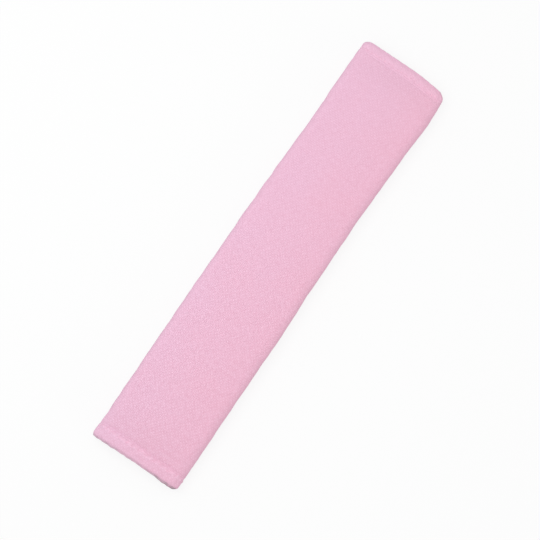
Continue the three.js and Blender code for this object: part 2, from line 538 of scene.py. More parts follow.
    def relief(self, x: np.ndarray, q: np.ndarray) -> np.ndarray:
        """How far the cover stands out of its plain form.

        The seams' relief, with puckers beside them that fade exponentially; slanting
        creases in the rolled hems; a slow unevenness of the padded front; a soft fall
        towards the near fold; and what the simulated swelling adds.

        Args:
            x: Places along the pad.
            q: Across values.

        Returns:
            The relief, in metres.
        """
        waves = self.waves
        from_end, hem = self.end_distance(x)
        present, share = self.padding(q)
        cloth = self.across(q)
        seam = self.by_end(x, lambda end: self.seam_relief(end, cloth, from_end, hem, present))
        off_seam = (from_end - hem + self.seam_inset) / MM
        beside = np.exp(-np.abs(off_seam) / waves.pucker_reach_mm)
        puckers = present * beside * waves.pucker.at(cloth, waves.pucker_slant * x)
        in_band = np.clip(1 - np.abs(2 * from_end / hem - waves.crease_middle), 0, 1)
        slant = cloth + waves.crease_slant * from_end + waves.crease_wander.at(cloth, x)
        turns = np.sin(2 * math.pi * slant / waves.crease_pitch)
        creases = waves.crease * in_band * share * turns
        body = self.swell(x) * share
        uneven = body * (waves.slow.at(x, cloth) + waves.quick.at(x, cloth))
        to_fold = (cloth - self.across(np.array(float(Leg.FRONT.value)))) / MM
        shoulder = mound(to_fold, waves.shoulder_at_mm, waves.shoulder_width_mm)
        total = seam + puckers + creases + uneven - waves.shoulder * body * shoulder
        if self.swelling is not None:
            total = total + self.swelling.at(x, cloth)
        return total

    def roping(self, cloth: np.ndarray, from_end: np.ndarray) -> np.ndarray:
        """The slant bumps that a pulled seam leaves, a sine of the turned distance.

        Args:
            cloth: Lengths of cloth across the panel.
            from_end: Distances from the end.

        Returns:
            The bumps, from -1 to 1.
        """
        wander = self.waves.rope_wander.at(cloth, from_end)
        slant = cloth + self.waves.rope_slant * from_end + wander
        return np.sin(2 * math.pi * slant / self.rope)

    def crease(self, x: np.ndarray, q: np.ndarray, depth: np.ndarray) -> np.ndarray:
        """Painted shade just inside each hem seam and a painted highlight on its ridge.

        A Gaussian beyond the seam less a bumpy one on it, both fainter at the upper end.

        Args:
            x: Places along the pad.
            q: Across values.
            depth: Depths below the cover's outside.

        Returns:
            The mark: above 0 where shade is painted, below 0 where a highlight is painted.
        """
        from_end, hem = self.end_distance(x)
        off_hem = (from_end - hem) / MM
        roped = self.roping(self.across(q), from_end)

        def of_end(seam: HemSeam) -> np.ndarray:
            """The painted shade and highlight that one end's seam gets.

            Args:
                seam: The seam.

            Returns:
                The crease at every point.
            """
            # Painted shade just inside the seam, less a painted highlight on its ridge.
            groove_shade = seam.groove_shade * mound(off_hem, seam.groove_shade_at, seam.groove_shade_width)
            ridge_highlight = seam.ridge_highlight + seam.ridge_highlight_roping * roped
            ridge_highlight = ridge_highlight * mound(off_hem, seam.ridge_highlight_at, seam.ridge_highlight_width)
            return seam.crease * (groove_shade - ridge_highlight)

        return self.by_end(x, of_end) * (depth < self.cover)

    def end_shade(self, x: np.ndarray, q: np.ndarray) -> np.ndarray:
        """Painted shade: how far the lower end's turned edge is greyed.

        A Gaussian of the distance from the end, by a share that changes across the pad and
        is uneven from yarn to yarn.

        Args:
            x: Places along the pad.
            q: Across values.

        Returns:
            The grey's share, from 0 to 1.
        """
        from_end, _ = self.end_distance(x)
        y, _, _, _ = self.section(x, q)
        share = np.interp(y / MM, self.end_shade_stations, self.end_shade_shares)
        share = share * np.clip(1 + self.waves.end_shade.at(y, 0 * y), *self.waves.end_shade_range)
        return (x < 0) * share * mound(from_end, 0.0, self.end_shade_reach)

    def settle(
        self, x: np.ndarray, y: np.ndarray, z: np.ndarray
    ) -> tuple[np.ndarray, np.ndarray]:
        """Lets the finished pad lie as cloth does, with uneven edges and rounded corners.

        The long edges stray by their lines, in proportion to a power of the distance from
        the middle line. The corners are drawn in by a steeper power. The upper end falls
        back towards the near edge. The lower one is a little hollow and slanting, and its
        underside slips out towards the near edge, which opens the belt channel's mouth.

        Args:
            x: Places along the pad.
            y: Places across it.
            z: Heights above the underside.

        Returns:
            The settled x and y.
        """
        drape = self.drape
        from_end = np.clip(self.length / 2 - np.abs(x), 0, None)
        side = y / (self.width / 2)
        off = np.abs(side)
        near, far = self.near_edge, self.far_edge
        shift = np.where(y > 0, far.at(x), near.at(x)) + drape.nap.at(x, y)
        drawn = np.where(y > 0, far.corner(x, from_end), near.corner(x, from_end))
        moved = off**drape.edge_power * shift - off**drape.corner_power * drawn
        near_end = ease(1 - from_end / drape.end_reach)
        fall = -drape.end_fall * ease((-side - drape.fall_from) / (1 - drape.fall_from))
        slip = drape.mouth_slip * ease(-side * drape.slip_rate) * (1 - ease(z / self.ceiling))
        hollow = drape.end_hollow * (drape.hollow_edge - off) - drape.end_slant * side
        bow = np.where(x > 0, fall, hollow - slip)
        ragged = self.by_end(x, lambda seam: seam.ragged)
        ragged = ragged * drape.ragged.at(y, drape.ragged_slant * x)
        return x + near_end * (bow + np.sign(x) * ragged), y + np.sign(y) * moved

    def rolled(self, edge: np.ndarray, depth: np.ndarray, wall: np.ndarray) -> np.ndarray:
        """How far a turned edge is drawn in, so that it is round and not square.

        A half circle across the wall's thickness, fading out over twice its radius.

        Args:
            edge: Distance from the edge.
            depth: Depth below the cover's outside.
            wall: Thickness of the wall.

        Returns:
            The inset, in metres.
        """
        radius = wall / 2
        off_middle = np.clip(np.abs(depth / radius - 1), 0, 1)
        inset = radius * (1 - np.sqrt(1 - off_middle**2))
        return inset * np.clip(1 - edge / (2 * radius), 0, 1)

    def wrap(self, x: np.ndarray, q: np.ndarray, depth: np.ndarray) -> np.ndarray:
        """Wraps points of the flat panel.

        Each point goes to the cover's outside at its row and column and then inwards by its
        depth. The relief moves the outside most and the channel side not at all, the turned
        edges are rounded, and the long edges take their sideways drift.

        Args:
            x: Places along the pad.
            q: Across values.
            depth: Depths below the cover's outside.

        Returns:
            Points, one row of x, y and z each.
        """
        y, z, in_y, in_z = self.section(x, q)
        wall = self.wall(x, q)
        sunk = depth - self.relief(x, q) * np.clip(1 - depth / wall, 0, self.sunk_limit)
        from_end, _ = self.end_distance(x)
        along = x - np.sign(x) * self.rolled(from_end, depth, wall)
        inner_edge = self.across(q)
        outer_edge = self.across(np.full_like(q, len(Leg))) - inner_edge
        y = y - self.rolled(inner_edge, depth, wall) + self.rolled(outer_edge, depth, wall)
        z = z + in_z * sunk
        along, y = self.settle(along, y + in_y * sunk, z)
        return np.stack([along, y, z], axis=-1)


def leg_columns(parts: Sequence[tuple[float, float, int]]) -> np.ndarray:
    """Across values in stretches of even steps: start, end and number of steps of each."""
    pieces = [np.linspace(start, end, steps + 1)[:-1] for start, end, steps in parts]
    return np.append(np.concatenate(pieces), parts[-1][1])


class Span(Enum):
    """Rough length of each stretch of columns and the size of its steps, in mm."""

    TAPE = (20.0, 0.95)
    RAMP = (12.0, 1.0)
    TUCK = (3.8, 0.8)
    FOLD = (15.0, 0.8)
    FRONT = (46.0, 0.85)
    RUN = (11.0, 1.2)


@dataclass
class PanelGrid:
    """Rows along the pad and columns across the panel that a wrapped piece is made on."""

    form: PadForm
    fineness: float = 1.0
    edge_step: float = 0.2 * MM
    roll_end: float = 2 * MM
    roll_step: float = 0.4 * MM
    band_step: float = 0.6 * MM
    seam_lead: float = 1.6 * MM
    seam_step: float = 0.34 * MM
    foot_reach: float = 12 * MM
    foot_step: float = 0.9 * MM
    rise_step: float = 1.7 * MM
    body_step: float = 2.6 * MM
    margin_steps: int = 2
    x: np.ndarray = field(init=False)
    q: np.ndarray = field(init=False)

    def __post_init__(self) -> None:
        """Works out the rows and columns."""
        self.x = self._rows()
        self.q = self._columns()

    def _steps(self, span: float, size: float) -> int:
        """Number of steps of about one size over a span, at this grid's fineness."""
        return max(1, round(span * self.fineness / size))

    def _span(self, span: Span) -> int:
        """Number of steps over one stretch of columns."""
        return self._steps(*span.value)

    def _stretches(self, marks: Sequence[float], sizes: Sequence[float]) -> np.ndarray:
        """Even steps of about each size between neighbouring marks."""
        runs = zip(marks, marks[1:], sizes)
        return leg_columns([(a, b, self._steps(b - a, size)) for a, b, size in runs])

    def _rows(self) -> np.ndarray:
        """Rows, close together at the turned edges and the hem seams.

        Returns:
            The place of each row along the pad.
        """
        form = self.form
        ends = []
        for hem in (form.lower_hem, form.upper_hem):
            lip = hem + form.hem_past_seam
            padding = lip + form.foam_past_hem
            marks = [
                0, form.cover, form.cover + form.gap, self.roll_end, hem - self.seam_lead, lip,
                padding, padding + self.foot_reach, padding + form.foam_rise,
            ]
            sizes = [
                self.edge_step, self.edge_step, self.roll_step, self.band_step, self.seam_step,
                self.roll_step, self.foot_step, self.rise_step,
            ]
            ends.append(self._stretches(marks, sizes))
        lower = -form.length / 2 + ends[0]
        upper = (form.length / 2 - ends[1])[::-1]
        steps = self._steps(upper[0] - lower[-1], self.body_step)
        middle = np.linspace(lower[-1], upper[0], steps + 1)
        return np.concatenate([lower, middle[1:-1], upper])

    def _columns(self) -> np.ndarray:
        """Columns, with one on each tape edge and close together at the turned edges.

        The across value runs from 0 to 7, and the outer half mirrors the inner one.

        Returns:
            The across value of each column.
        """
        form, tuck, last = self.form, self.form.tuck, len(Leg)
        near, front, run = Leg.NEAR_FOLD.value, Leg.FRONT.value, Leg.RUN.value
        marks = [0, form.cover, form.cover + form.gap, form.tape_margin]
        marks = [mark / form.flap for mark in marks]
        sizes = (self.edge_step, self.edge_step, self.band_step)
        flap = [
            (low, high, self._steps((high - low) * form.flap, size))
            for low, high, size in zip(marks, marks[1:], sizes)
        ]
        tape_end = 1 - marks[-1]
        tape = (marks[-1], tape_end, self._span(Span.TAPE))
        flap = [*flap, tape, (tape_end, 1, self.margin_steps)]
        fold = [
            (near, near + tuck, self._span(Span.TUCK)),
            (near + tuck, front - tuck, self._span(Span.FOLD)),
            (front - tuck, front, self._span(Span.TUCK)),
        ]
        parts = [
            *flap, (1, near, self._span(Span.RAMP)), *fold,
            (front, front + 1, self._span(Span.FRONT)),
            *[(last - high, last - low, steps) for low, high, steps in reversed(fold)],
            (run, run + 1, self._span(Span.RUN)),
            *[(last - high, last - low, steps) for low, high, steps in reversed(flap)],
        ]
        return leg_columns(parts)


def cell_faces(filled: np.ndarray) -> np.ndarray:
    """Quads between full and empty cells of a block, wound for the panel's own handedness.

    Along each axis the cells are padded with empty ones and differenced: where the
    difference isn't zero there is a face, and its sign says which way the face looks.

    Args:
        filled: Which cells are full, as rows by columns by levels.

    Returns:
        The corners of each quad, as row, column and level of the lattice.
    """
    solid = np.pad(filled.astype(int), 1)
    faces = []
    for axis in range(3):
        change = np.diff(solid, axis=axis)
        keep = tuple(slice(None) if a == axis else slice(1, -1) for a in range(3))
        change = change[keep]
        at = np.argwhere(change)
        ahead, beyond = np.eye(3, dtype=int)[[(axis + 1) % 3, (axis + 2) % 3]]
        corners = np.stack([at, at + ahead, at + ahead + beyond, at + beyond], axis=1)
        leaving = change[tuple(at.T)] < 0
        corners[leaving] = corners[leaving][:, ::-1]
        faces.append(corners)
    return np.concatenate(faces)


def new_object(
    name: str, points: np.ndarray, faces: Sequence, sharp_deg: float
) -> bpy.types.Object:
    """Makes a smooth-shaded mesh object at the origin.

    Args:
        name: Name of the object and its mesh.
        points: One row of x, y and z each.
        faces: Corner indices of each face.
        sharp_deg: Edges that turn by more than this stay sharp.

    Returns:
        The object, linked to the scene.
    """
    mesh = bpy.data.meshes.new(name)
    mesh.from_pydata(points.tolist(), [], [list(map(int, face)) for face in faces])
    mesh.shade_smooth()
    mesh.set_sharp_from_angle(angle=math.radians(sharp_deg))
    made = bpy.data.objects.new(name, mesh)
    bpy.context.scene.collection.objects.link(made)
    return made


def set_cloth(piece: bpy.types.Object, places: np.ndarray) -> None:
    """Stores each point's place on the flat cloth: across, along and how taut it is."""
    attribute = piece.data.attributes.new("cloth", "FLOAT_VECTOR", "POINT")
    attribute.data.foreach_set("vector", places.astype(np.float32).ravel())


@dataclass
class WrappedPiece:
    """A closed solid wrapped with the panel: some cells of rows by columns by levels."""

    form: PadForm
    grid: PanelGrid
    name: str

    def build(self, depths: Sequence[Depth], filled: np.ndarray) -> bpy.types.Object:
        """Makes the mesh.

        Args:
            depths: Each level's depth, as a function of x and the across value.
            filled: Which cells are full.

        Returns:
            The piece, its faces pointing outwards.
        """
        corners = cell_faces(filled)
        shape = tuple(size + 1 for size in filled.shape)
        ids = np.ravel_multi_index(tuple(np.moveaxis(corners, -1, 0)), shape)
        used, faces = np.unique(ids, return_inverse=True)
        rows, columns, levels = np.unravel_index(used, shape)
        x, q = self.grid.x[rows], self.grid.q[columns]
        depth = np.choose(levels, [level(x, q) for level in depths])
        points = self.form.wrap(x, q, depth)
        piece = new_object(self.name, points, faces.reshape(-1, 4), sharp_deg=50)
        along = x + np.sign(x) * depth
        set_cloth(piece, np.stack([self.form.across(q), along, self.form.in_hem(x)], axis=-1))
        # Both marks are painted light: shade and highlights at the hem seams, and shade on the
        # lower end's edge.
        marks = {"crease": self.form.crease(x, q, depth), "end_shade": self.form.end_shade(x, q)}
        for mark, values in marks.items():
            attribute = piece.data.attributes.new(mark, "FLOAT", "POINT")
            attribute.data.foreach_set("value", values.astype(np.float32))
        return piece

    def cells(self, levels: int) -> tuple[np.ndarray, np.ndarray, np.ndarray]:
        """The cells of the lattice, ready to compare.

        Args:
            levels: How many cells there are in depth.

        Returns:
            Middle x, middle across value and level of every cell.
        """
        x = (self.grid.x[:-1] + self.grid.x[1:]) / 2
        q = (self.grid.q[:-1] + self.grid.q[1:]) / 2
        return x[:, None, None], q[None, :, None], np.arange(levels)[None, None, :]


CLOTH_SETTINGS = {
    "quality": 6,
    "mass": 0.25,
    "air_damping": 2.0,
    "tension_stiffness": 40,
    "compression_stiffness": 40,
    "shear_stiffness": 20,
    "bending_stiffness": 1.5,
    "use_pressure": True,
}


@dataclass
class Swelling:
    """Cloth simulation of the padded front: how far the cover lifts between its seams."""

    form: PadForm
    step: float = 2.4 * MM
    scale: float = 20.0
    frames: int = 22
    pressure: float = 1.5
    fullness: float = 0.03
    support: float = 0.2
    springiness: float = 1.0
    share: float = 0.13
    cap: float = 0.9 * MM
    into_fold: float = 0.1
    x: np.ndarray = field(init=False)
    cloth: np.ndarray = field(init=False)
    lift: np.ndarray = field(init=False)

    def run(self) -> "Swelling":
        """Simulates the cover from hem seam to hem seam and from fold to fold.

        The sheet is cut a little larger than its seams allow, held along all four sides,
        sprung towards its form by the foam and blown up from inside without gravity. A
        share of its lift along the cover's own normal is kept, and no more than the cap.

        Returns:
            Itself, ready to be asked for its lift.
        """
        form = self.form
        low, high = -form.length / 2 + form.lower_hem, form.length / 2 - form.upper_hem
        first = form.across(np.array([Leg.NEAR_FOLD.value + self.into_fold]))[0]
        last = form.across(np.array([Leg.RUN.value - self.into_fold]))[0]
        self.x = np.linspace(low, high, round((high - low) / self.step) + 1)
        self.cloth = np.linspace(first, last, round((last - first) / self.step) + 1)
        x, cloth = np.meshgrid(self.x, self.cloth, indexing="ij")
        q = form.across_value(cloth)
        y, z, in_y, in_z = form.section(x, q)
        start = np.stack([x, y, z], axis=-1) * self.scale
        end = self._simulate(start.reshape(-1, 3), x.shape).reshape(start.shape)
        moved = (end - start) / self.scale
        lift = -(moved[..., 1] * in_y + moved[..., 2] * in_z)
        self.lift = self.cap * np.tanh(self.share * lift / self.cap)
        LOG.info("swelling: lift from %.2f to %.2f mm", self.lift.min() / MM, self.lift.max() / MM)
        return self

    def _simulate(self, points: np.ndarray, shape: tuple[int, int]) -> np.ndarray:
        """Runs the cloth on a grid of points.

        Args:
            points: The grid's points, row by row.
            shape: Its rows and columns.

        Returns:
            Where the points end.
        """
        index = np.arange(shape[0] * shape[1]).reshape(shape)
        quads = np.stack([index[:-1, :-1], index[1:, :-1], index[1:, 1:], index[:-1, 1:]], axis=-1)
        sheet = new_object("swelling_trial", points, quads.reshape(-1, 4), sharp_deg=180)
        held = np.concatenate([index[:2].ravel(), index[-2:].ravel(), index[:, 0], index[:, -1]])
        pins = sheet.vertex_groups.new(name="held")
        pins.add(index.ravel().tolist(), self.support, "REPLACE")
        pins.add(np.unique(held).tolist(), 1.0, "REPLACE")
        cloth = sheet.modifiers.new("cloth", "CLOTH")
        settings = cloth.settings
        for name, value in CLOTH_SETTINGS.items():
            setattr(settings, name, value)
        settings.vertex_group_mass = "held"
        settings.pin_stiffness = self.springiness
        settings.shrink_min = -self.fullness
        settings.uniform_pressure_force = self.pressure
        settings.effector_weights.gravity = 0
        cloth.collision_settings.use_collision = False
        cloth.point_cache.frame_start, cloth.point_cache.frame_end = 1, self.frames
        scene = bpy.context.scene
        for number in range(1, self.frames + 1):
            scene.frame_set(number)
        done = sheet.evaluated_get(bpy.context.evaluated_depsgraph_get())
        ends = np.empty(len(points) * 3)
        done.data.vertices.foreach_get("co", ends)
        scene.frame_set(1)
        bpy.data.objects.remove(sheet)
        return ends.reshape(-1, 3)

    def at(self, x: np.ndarray, cloth: np.ndarray) -> np.ndarray:
        """Lift at places on the cloth, eased between the simulated points.

        Args:
            x: Places along the pad.
            cloth: Lengths of cloth across the panel.

        Returns:
            The lift, in metres, and 0 outside the simulated sheet.
        """
        rows = np.interp(x, self.x, np.arange(len(self.x)))
        columns = np.interp(cloth, self.cloth, np.arange(len(self.cloth)))
        row = np.clip(rows.astype(int), 0, len(self.x) - 2)
        column = np.clip(columns.astype(int), 0, len(self.cloth) - 2)
        down, right = ease(rows - row), ease(columns - column)
        lift = self.lift
        upper = lift[row, column] * (1 - right) + lift[row, column + 1] * right
        lower = lift[row + 1, column] * (1 - right) + lift[row + 1, column + 1] * right
        inside = (x > self.x[0]) & (x < self.x[-1])
        inside = inside & (cloth > self.cloth[0]) & (cloth < self.cloth[-1])
        return np.where(inside, upper * (1 - down) + lower * down, 0.0)


class Field:
    """A shader socket that takes part in arithmetic: each operation adds its Math node."""

    def __init__(self, tree: bpy.types.NodeTree, socket: bpy.types.NodeSocket) -> None:
        """Wraps a socket of a node tree."""
        self.tree = tree
        self.socket = socket

    def math(self, operation: str, *others: "Field | float") -> "Field":
        """Adds one Math node.

        Args:
            operation: The node's operation.
            others: Its second and third inputs, as fields or numbers.

        Returns:
            The node's result.
        """
        node = self.tree.nodes.new("ShaderNodeMath")
        node.operation = operation
        for place, value in enumerate((self, *others)):
            if isinstance(value, Field):
                self.tree.links.new(value.socket, node.inputs[place])
            else:
                node.inputs[place].default_value = value
        return Field(self.tree, node.outputs[0])

    def _swapped(self, operation: str, other: float) -> "Field":
        """Adds a Math node with a plain number as its first input.

        Args:
            operation: The node's operation.
            other: The number.

        Returns:
            The node's result.
        """
        made = self.math(operation, 0.0)
        node = made.socket.node
        self.tree.links.remove(node.inputs[0].links[0])
        node.inputs[0].default_value = other
        self.tree.links.new(self.socket, node.inputs[1])
        return made

    def __add__(self, other: "Field | float") -> "Field":
        """Sum."""
        return self.math("ADD", other)

    __radd__ = __add__

    def __mul__(self, other: "Field | float") -> "Field":
        """Product."""
        return self.math("MULTIPLY", other)

    __rmul__ = __mul__

    def __sub__(self, other: "Field | float") -> "Field":
        """Difference."""
        return self.math("SUBTRACT", other)

    def __rsub__(self, other: float) -> "Field":
        """A number less this field."""
        return self._swapped("SUBTRACT", other)

    def __truediv__(self, other: "Field | float") -> "Field":
        """Quotient."""
        return self.math("DIVIDE", other)

    def sin(self) -> "Field":
        """Sine."""
        return self.math("SINE")

    def abs(self) -> "Field":
        """Absolute value."""
        return self.math("ABSOLUTE")

    def power(self, exponent: float) -> "Field":
        """Raised to a power."""
        return self.math("POWER", exponent)

    def clamped(self, low: float, high: float) -> "Field":
        """Kept between two values."""
        return self.math("MAXIMUM", low).math("MINIMUM", high)


@dataclass(frozen=True)
class Gloss:
    """How a finish reflects light, and the strength and depth of its bumps."""

    roughness: float
    specular: float
    bump: float
    relief: float
    sheen: float = 0.0
    sheen_roughness: float = 0.5


class Canvas:
    """A material's node tree, with one method for every kind of node."""

    def __init__(self, name: str) -> None:
        """Starts a material that holds only its output.

        Args:
            name: Name of the material.
        """
        self.material = bpy.data.materials.new(name)
        self.material.use_nodes = True
        self.tree = self.material.node_tree
        self.tree.nodes.clear()
        self.output = self.tree.nodes.new("ShaderNodeOutputMaterial")

    def node(self, kind: str, settings: dict | None = None, **values: object) -> bpy.types.Node:
        """Adds a node.

        Args:
            kind: The node's type.
            settings: Attributes that are set first, such as its operation.
            values: Inputs by name, with underscores for spaces: fields, sockets or values.

        Returns:
            The node.
        """
        node = self.tree.nodes.new(kind)
        for key, value in (settings or {}).items():
            setattr(node, key, value)
        for key, value in values.items():
            self.feed(node.inputs[key.replace("_", " ")], value)
        return node

    def feed(self, socket: bpy.types.NodeSocket, value: object) -> None:
        """Links a field or a socket to an input, or sets its value.

        Args:
            socket: The input.
            value: A field, an output socket or a plain value.
        """
        if isinstance(value, Field):
            self.tree.links.new(value.socket, socket)
        elif isinstance(value, bpy.types.NodeSocket):
            self.tree.links.new(value, socket)
        else:
            socket.default_value = value

    def field(self, socket: bpy.types.NodeSocket) -> Field:
        """An output socket, ready for arithmetic."""
        return Field(self.tree, socket)

    def cloth_place(self) -> tuple[Field, Field, Field]:
        """Reads the cloth attribute.

        Returns:
            Place across the cloth, place along it and how taut it is.
        """
        attribute = self.node("ShaderNodeAttribute", {"attribute_name": "cloth"})
        parts = self.node("ShaderNodeSeparateXYZ", Vector=attribute.outputs["Vector"])
        return tuple(self.field(socket) for socket in parts.outputs)

    def mark(self, name: str) -> Field:
        """A single number that the piece's points carry."""
        attribute = self.node("ShaderNodeAttribute", {"attribute_name": name})
        return self.field(attribute.outputs["Fac"])

    def vector(self, x: object, y: object, z: object = 0.0) -> bpy.types.NodeSocket:
        """A vector of three fields or numbers."""
        return self.node("ShaderNodeCombineXYZ", X=x, Y=y, Z=z).outputs["Vector"]

    def noise(self, place: bpy.types.NodeSocket, scale: float, detail: float = 2.0) -> Field:
        """Noise at a place, about 0.5 on average."""
        made = self.node("ShaderNodeTexNoise", Vector=place, Scale=scale, Detail=detail)
        return self.field(made.outputs["Fac"])

    def mix(self, factor: object, first: object, second: object) -> bpy.types.NodeSocket:
        """A colour between two, by a factor.

        Args:
            factor: 0 for the first colour and 1 for the second.
            first: Colour, field or socket.
            second: Colour, field or socket.

        Returns:
            The mixed colour.
        """
        node = self.tree.nodes.new("ShaderNodeMix")
        node.data_type = "RGBA"
        named = {socket.identifier: socket for socket in node.inputs}
        self.feed(named["Factor_Float"], factor)
        self.feed(named["A_Color"], first)
        self.feed(named["B_Color"], second)
        return next(s for s in node.outputs if s.identifier == "Result_Color")

    def finish(
        self, colour: bpy.types.NodeSocket, height: Field, gloss: Gloss
    ) -> bpy.types.Material:
        """Adds the bumps and the Principled shader, which ends the material.

        Args:
            colour: The base colour.
            height: The bumps' height, as a share of the gloss's relief.
            gloss: How the finish reflects light.

        Returns:
            The material.
        """
        bumps = self.node(
            "ShaderNodeBump", Strength=gloss.bump, Distance=gloss.relief, Height=height
        )
        shader = self.node(
            "ShaderNodeBsdfPrincipled",
            Base_Color=colour,
            Roughness=gloss.roughness,
            Specular_IOR_Level=gloss.specular,
            Sheen_Weight=gloss.sheen,
            Sheen_Roughness=gloss.sheen_roughness,
            Normal=bumps.outputs["Normal"],
        )
        self.tree.links.new(shader.outputs["BSDF"], self.output.inputs["Surface"])
        return self.material


def srgb(red: float, green: float, blue: float) -> tuple[float, float, float, float]:
    """Turns display values of 0 to 255 into a linear colour, by the sRGB curve.

    Args:
        red: Red.
        green: Green.
        blue: Blue.

    Returns:
        The colour and an alpha of 1.
    """
    shares = np.array([red, green, blue]) / 255
    linear = np.where(shares <= 0.04045, shares / 12.92, ((shares + 0.055) / 1.055) ** 2.4)
    return (*(float(value) for value in linear), 1.0)


@dataclass(frozen=True)
class WovenCloth:
    """Plain-woven cloth of fairly thick, slightly uneven yarn."""

    name: str = "woven_cloth"
    high: tuple[float, float, float, float] = srgb(252, 211, 233)
    low: tuple[float, float, float, float] = srgb(230, 172, 196)
    # The cool and warm colours tint the dye's random mottle. Across the cloth they also carry
    # painted light: cooler light towards the far fold and rosier shade towards the near one.
    cool: tuple[float, float, float, float] = srgb(238, 193, 218)
    warm: tuple[float, float, float, float] = srgb(243, 186, 207)
    # Grey of the painted shade on the lower end's turned edge.
    end_shade_grey: tuple[float, float, float, float] = srgb(152, 141, 148)
    # The next two place the painted cool light across the cloth: its middle and its width.
    middle: float = 83 * MM
    cool_light_width: float = 70 * MM
    across_pitch: float = 1.1 * MM
    along_pitch: float = 1.25 * MM
    gloss: Gloss = Gloss(roughness=0.92, specular=0.2, bump=0.5, relief=0.26 * MM, sheen=0.1)
    wander: float = 0.9 * MM
    wander_scale: float = 240.0
    crossing: float = 4.0
    float_power: float = 0.7
    float_share: float = 0.85
    fibre_fine: float = 5600.0
    fibre_long: float = 700.0
    fibre_lean: float = 0.5
    thick_ends: tuple[float, float] = (430.0, 170.0)
    thick_picks: tuple[float, float] = (170.0, 400.0)
    slub_scales: tuple[float, float] = (640.0, 430.0)
    patch_scale: float = 30.0
    weave_height: float = 0.8
    yarn_height: float = 0.3
    fibre_height: float = 0.2
    # Strength of the painted shade in the gaps between the yarns, with their crowns lighter.
    weave_gap_shade: float = 0.6
    yarn_tone: float = 0.35
    top_tone: float = 0.45
    fibre_tone: float = 0.2
    slub_tone: float = 0.85
    middle_tone: float = 0.42
    # Painted light: how much lighter the hem bands are.
    hem_band_light: float = 0.08
    # Strength of the painted shade inside the hem seams and of the painted highlight on their
    # ridges.
    seam_light_tone: float = 0.38
    slack: float = 0.93
    taut_slack: float = 0.1
    upper_slack: float = 1.6
    patch_contrast: float = 0.8
    taut_patch: float = 0.1
    ground_share: float = 0.56
    weft_layer: float = 9.0
    picks_layer: float = 5.0
    slub_layer: float = 2.0

    def _yarns(
        self, canvas: Canvas, across: Field, along: Field
    ) -> tuple[Field, Field, Field, Field]:
        """Weaves warp and weft.

        A checker, the clamped product of two sines, says which yarn is on top. Each yarn is
        a ridge, highest in the middle of its float and diving under the next one at both
        ends. Fibres run along it, and its thickness is uneven.

        Args:
            canvas: The material.
            across: Place across the cloth.
            along: Place along it.

        Returns:
            Whether the warp is on top, the ridges, the yarns' thickness and the fibres.
        """
        flat = canvas.vector(across, along)
        wander = (canvas.noise(flat, self.wander_scale, 1.0) - 0.5) * self.wander
        end = ((across + wander) * (math.pi / self.across_pitch)).sin()
        pick = ((along + wander) * (math.pi / self.along_pitch)).sin()
        over = (end * pick * self.crossing + 0.5).clamped(0.0, 1.0)
        under = 1.0 - over
        ends, picks = end.abs(), pick.abs()
        low = 1 - self.float_share
        warp = ends * (picks.power(self.float_power) * self.float_share + low)
        weft = picks * (ends.power(self.float_power) * self.float_share + low)
        lean, rise = across + along * self.fibre_lean, along + across * self.fibre_lean
        warp_place = canvas.vector(lean * self.fibre_fine, along * self.fibre_long)
        weft_place = canvas.vector(
            across * self.fibre_long, rise * self.fibre_fine, self.weft_layer
        )
        fibres = over * canvas.noise(warp_place, 1.0, 1.0)
        fibres = fibres + under * canvas.noise(weft_place, 1.0, 1.0)
        ends_place = canvas.vector(across * self.thick_ends[0], along * self.thick_ends[1])
        picks_place = canvas.vector(
            across * self.thick_picks[0], along * self.thick_picks[1], self.picks_layer
        )
        yarn = over * canvas.noise(ends_place, 1.0, 1.0)
        yarn = yarn + under * canvas.noise(picks_place, 1.0, 1.0)
        return over, over * warp + under * weft, yarn, fibres

    def build(self) -> bpy.types.Material:
        """Colours the weave.

        The yarns' relief and slubs lighten and darken it, and the relief's darker gaps between
        the yarns are painted shade. The dye is patchy, and painted light makes the cloth cooler
        towards its far fold and rosier towards its near one. Painted shade darkens the cloth just
        inside the hem seams, a painted highlight lightens their ridges, painted light lifts the
        hem bands a little, and painted shade greys the lower end's edge.

        Returns:
            The material.
        """
        canvas = Canvas(self.name)
        across, along, taut = canvas.cloth_place()
        over, weave, yarn, fibres = self._yarns(canvas, across, along)
        slub_place = canvas.vector(
            across * self.slub_scales[0], along * self.slub_scales[1], self.slub_layer
        )
        slub = canvas.noise(slub_place, 1.0, 0.0) - 0.5
        slack = self.slack - taut * self.taut_slack - along * self.upper_slack
        height = weave * self.weave_height + yarn * self.yarn_height
        height = (height + fibres * self.fibre_height) * slack
        # Painted shade: the gaps between the yarns are darker and their crowns lighter; the yarns'
        # uneven thickness varies their tone as well.
        tone = (weave - 0.5) * self.weave_gap_shade + (yarn - 0.5) * self.yarn_tone
        tone = tone + (over - 0.5) * weave * self.top_tone
        tone = tone + (fibres - 0.5) * self.fibre_tone + slub * self.slub_tone
        # Painted light: the hem bands are a little lighter.
        tone = tone * slack + self.middle_tone + taut * self.hem_band_light
        # Painted shade inside the hem seams and a painted highlight on their ridges.
        tone = tone - canvas.mark("crease") * self.seam_light_tone
        mottle = canvas.noise(canvas.vector(across, along), self.patch_scale, 2.0) - 0.5
        # Painted light: cooler towards the far fold, rosier towards the near one.
        painted_cool_light = (across - self.middle) * (-1.0 / self.cool_light_width)
        patch = mottle * self.patch_contrast + painted_cool_light + 0.5 - taut * self.taut_patch
        ground = canvas.mix(patch.clamped(0.0, 1.0), self.cool, self.warm)
        light = canvas.mix(tone.clamped(0.0, 1.0), self.low, self.high)
        unshaded = canvas.mix(self.ground_share, light, ground)
        # Painted shade: the lower end's turned edge is greyed.
        colour = canvas.mix(canvas.mark("end_shade"), unshaded, self.end_shade_grey)
        return canvas.finish(colour, height, self.gloss)


